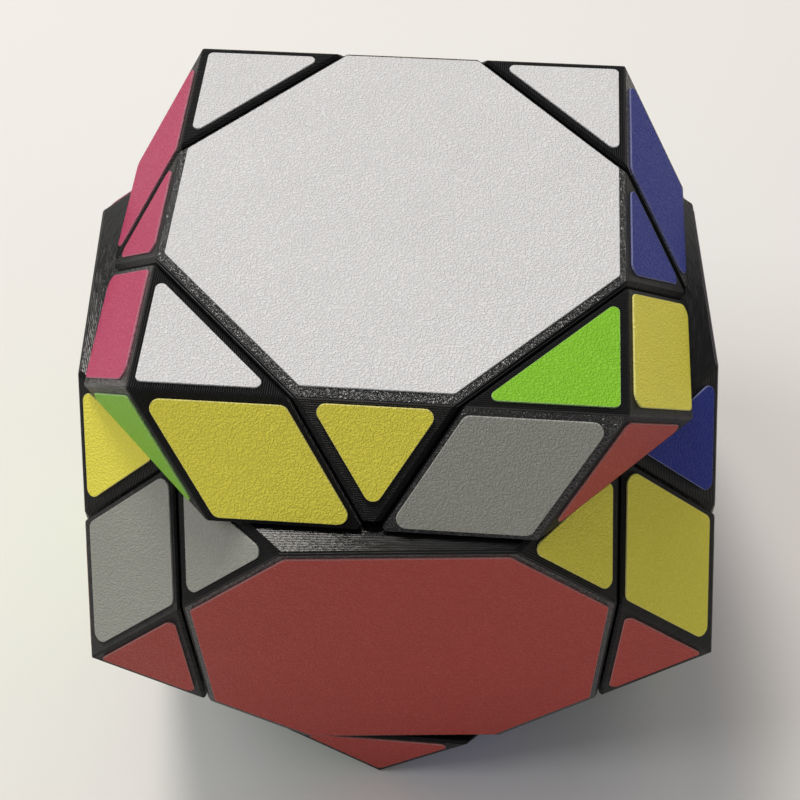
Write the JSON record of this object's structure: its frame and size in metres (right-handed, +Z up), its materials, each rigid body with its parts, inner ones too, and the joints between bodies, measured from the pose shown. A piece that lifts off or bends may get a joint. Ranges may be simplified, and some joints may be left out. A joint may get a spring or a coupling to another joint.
{
  "type": "cuboctahedron twisty puzzle",
  "caption": "Face-turning puzzle shaped as a cuboctahedron, with coloured film on black printed pieces; its top layer is part turned.",
  "frame": {"origin": "centre of the bottom square face, on the table", "axes": "+Z up through the turning axis of the top and bottom layers; -Y out of the front square face of the middle layer; +X out of the right square face"},
  "size_m": [0.0738, 0.0738, 0.0724],
  "materials": {
    "printed_plastic": "black printed plastic with fine layer lines",
    "zinc_steel": "zinc plated",
    "spring_steel": "drawn wire",
    "film_white": "textured vinyl film",
    "film_green": "textured vinyl film",
    "film_red": "textured vinyl film",
    "film_yellow": "textured vinyl film",
    "film_grey": "textured vinyl film",
    "film_pink": "textured vinyl film",
    "film_blue": "textured vinyl film",
    "film_cream": "textured vinyl film",
    "film_sky": "textured vinyl film",
    "film_purple": "textured vinyl film",
    "film_orange": "textured vinyl film",
    "film_teal": "textured vinyl film",
    "film_brown": "textured vinyl film",
    "film_forest": "textured vinyl film"
  },
  "bodies": {
    "middle_layer": {"core": "printed_plastic", "centre_screws": "zinc_steel", "tension_springs": "spring_steel", "spring_washers": "zinc_steel", "front_centre_body": "printed_plastic", "back_centre_body": "printed_plastic", "left_centre_body": "printed_plastic", "right_centre_body": "printed_plastic", "side_centre_caps": "printed_plastic", "middle_corner_front_right": "printed_plastic", "middle_corner_front_left": "printed_plastic", "middle_corner_back_left": "printed_plastic", "middle_corner_back_right": "printed_plastic", "middle_white_stickers": "film_white", "middle_green_stickers": "film_green", "middle_red_stickers": "film_red", "middle_yellow_stickers": "film_yellow", "middle_grey_stickers": "film_grey", "middle_pink_stickers": "film_pink", "middle_blue_stickers": "film_blue", "middle_cream_stickers": "film_cream", "middle_sky_stickers": "film_sky", "middle_purple_stickers": "film_purple", "middle_orange_stickers": "film_orange", "middle_teal_stickers": "film_teal", "middle_brown_stickers": "film_brown", "middle_forest_stickers": "film_forest"},
    "top_layer": {"top_centre_body": "printed_plastic", "top_centre_cap": "printed_plastic", "top_corner_front_right": "printed_plastic", "top_corner_front_left": "printed_plastic", "top_corner_back_left": "printed_plastic", "top_corner_back_right": "printed_plastic", "top_white_stickers": "film_white", "top_green_stickers": "film_green", "top_red_stickers": "film_red", "top_yellow_stickers": "film_yellow", "top_grey_stickers": "film_grey", "top_pink_stickers": "film_pink", "top_blue_stickers": "film_blue", "top_cream_stickers": "film_cream", "top_sky_stickers": "film_sky", "top_purple_stickers": "film_purple"},
    "bottom_layer": {"bottom_centre_body": "printed_plastic", "bottom_centre_cap": "printed_plastic", "bottom_corner_front": "printed_plastic", "bottom_corner_left": "printed_plastic", "bottom_corner_back": "printed_plastic", "bottom_corner_right": "printed_plastic", "bottom_green_stickers": "film_green", "bottom_red_stickers": "film_red", "bottom_grey_stickers": "film_grey", "bottom_blue_stickers": "film_blue", "bottom_sky_stickers": "film_sky", "bottom_purple_stickers": "film_purple", "bottom_orange_stickers": "film_orange", "bottom_teal_stickers": "film_teal", "bottom_brown_stickers": "film_brown", "bottom_forest_stickers": "film_forest"}
  },
  "joints": [
    {"name": "top_layer_turn", "type": "hinge", "parent": "middle_layer", "child": "top_layer", "pos_m": [0, 0, 0.0362], "axis": [0, 0, 1], "continuous": true},
    {"name": "bottom_layer_turn", "type": "hinge", "parent": "middle_layer", "child": "bottom_layer", "pos_m": [0, 0, 0.0362], "axis": [0, 0, 1], "continuous": true}
  ]
}
